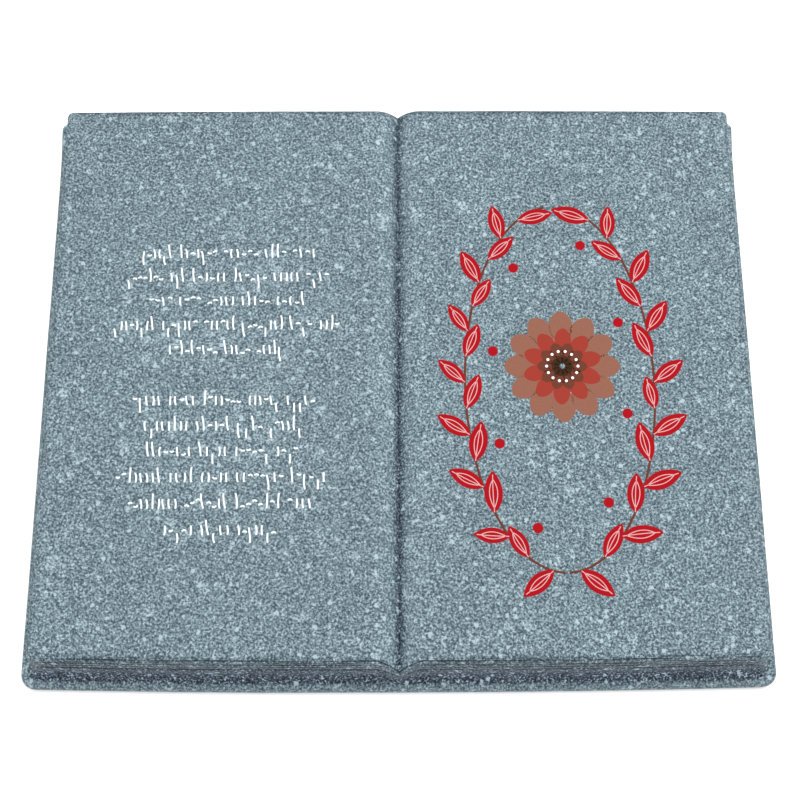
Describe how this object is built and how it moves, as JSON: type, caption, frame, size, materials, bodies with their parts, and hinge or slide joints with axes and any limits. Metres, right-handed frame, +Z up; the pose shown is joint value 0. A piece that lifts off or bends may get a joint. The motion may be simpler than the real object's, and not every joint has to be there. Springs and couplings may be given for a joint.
{
  "type": "memorial plaque",
  "caption": "Memorial plaque shaped like an open book: two crowned pages, a V-shaped gutter, grooved page edges, a cove and a round lip, flat underneath.",
  "frame": {"origin": "under the middle of the plaque, on the surface that it stands on", "axes": "+X across both pages to the right page, +Y from the reader's side to the head of the pages, +Z up"},
  "size_m": [0.3066, 0.254, 0.0335],
  "materials": {
    "granite_effect": "cast resin with a matt, speckled blue-grey granite effect and pale ice-blue flecks",
    "white_ink": "matt white printing ink, lying on the page",
    "coloured_ink": "matt printing ink in crimson, brick red and browns, lying on the page"
  },
  "bodies": {
    "root": {"open_book": "granite_effect"}
  },
  "joints": []
}
